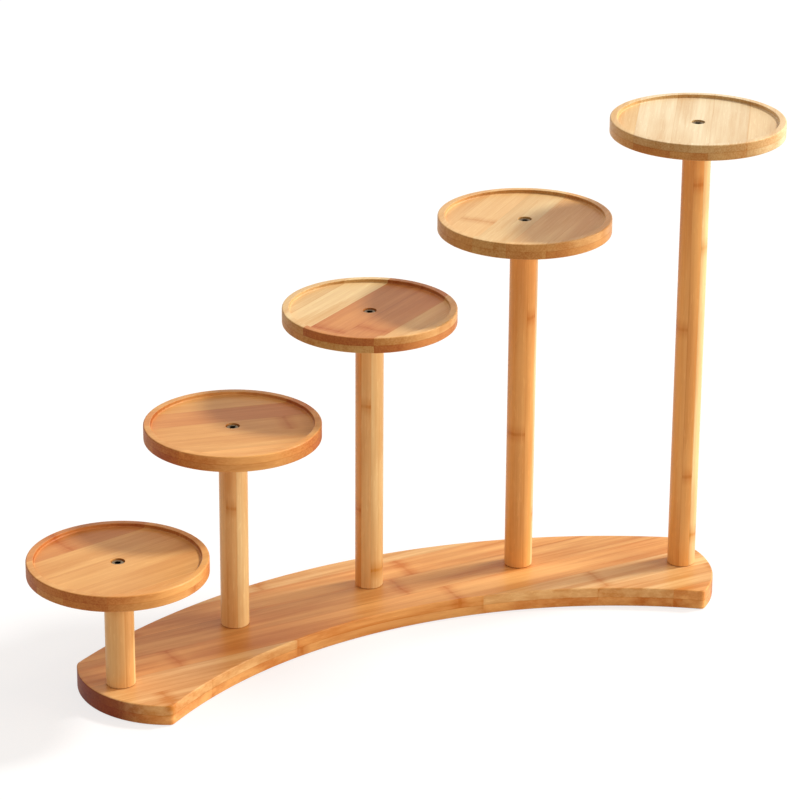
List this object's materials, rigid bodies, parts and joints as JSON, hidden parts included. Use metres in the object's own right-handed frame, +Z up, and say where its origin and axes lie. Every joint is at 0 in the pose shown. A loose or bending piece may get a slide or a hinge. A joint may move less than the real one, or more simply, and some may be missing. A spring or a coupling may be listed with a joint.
{
  "type": "tiered plant stand",
  "caption": "Bamboo plant stand: round dished trays on posts of rising height, set in an arc on one curved board, each tray held by a central socket screw.",
  "frame": {"origin": "on the table under the middle of the whole stand", "axes": "+X along the stand from the shortest post to the longest, +Y from the hollow side of the board to its outer side, +Z up"},
  "size_m": [0.5528, 0.1856, 0.345],
  "materials": {
    "bamboo_board": "carbonised bamboo, laminated, satin lacquer",
    "bamboo_post": "turned bamboo, satin lacquer",
    "bamboo_tray": "carbonised bamboo in two plies, satin lacquer",
    "steel_screw": "zinc-plated",
    "brass_insert": "turned brass"
  },
  "bodies": {
    "stand": {"base_board": "bamboo_board", "post_1": "bamboo_post", "foot_insert_1": "brass_insert", "top_insert_1": "brass_insert", "base_screw_1": "steel_screw", "tray_screw_1": "steel_screw", "post_2": "bamboo_post", "foot_insert_2": "brass_insert", "top_insert_2": "brass_insert", "base_screw_2": "steel_screw", "tray_screw_2": "steel_screw", "post_3": "bamboo_post", "foot_insert_3": "brass_insert", "top_insert_3": "brass_insert", "base_screw_3": "steel_screw", "tray_screw_3": "steel_screw", "post_4": "bamboo_post", "foot_insert_4": "brass_insert", "top_insert_4": "brass_insert", "base_screw_4": "steel_screw", "tray_screw_4": "steel_screw", "post_5": "bamboo_post", "foot_insert_5": "brass_insert", "top_insert_5": "brass_insert", "base_screw_5": "steel_screw", "tray_screw_5": "steel_screw"},
    "turning_tray_1": {"tray_1": "bamboo_tray"},
    "turning_tray_2": {"tray_2": "bamboo_tray"},
    "turning_tray_3": {"tray_3": "bamboo_tray"},
    "turning_tray_4": {"tray_4": "bamboo_tray"},
    "turning_tray_5": {"tray_5": "bamboo_tray"}
  },
  "joints": [
    {"name": "tray_1_swivel", "type": "hinge", "parent": "stand", "child": "turning_tray_1", "pos_m": [-0.21639, -0.03277, 0.094], "axis": [0, 0, 1], "continuous": true},
    {"name": "tray_2_swivel", "type": "hinge", "parent": "stand", "child": "turning_tray_2", "pos_m": [-0.11077, 0.01671, 0.152], "axis": [0, 0, 1], "continuous": true},
    {"name": "tray_3_swivel", "type": "hinge", "parent": "stand", "child": "turning_tray_3", "pos_m": [0, 0.03277, 0.211], "axis": [0, 0, 1], "continuous": true},
    {"name": "tray_4_swivel", "type": "hinge", "parent": "stand", "child": "turning_tray_4", "pos_m": [0.11077, 0.01671, 0.265], "axis": [0, 0, 1], "continuous": true},
    {"name": "tray_5_swivel", "type": "hinge", "parent": "stand", "child": "turning_tray_5", "pos_m": [0.21639, -0.03277, 0.334], "axis": [0, 0, 1], "continuous": true}
  ]
}
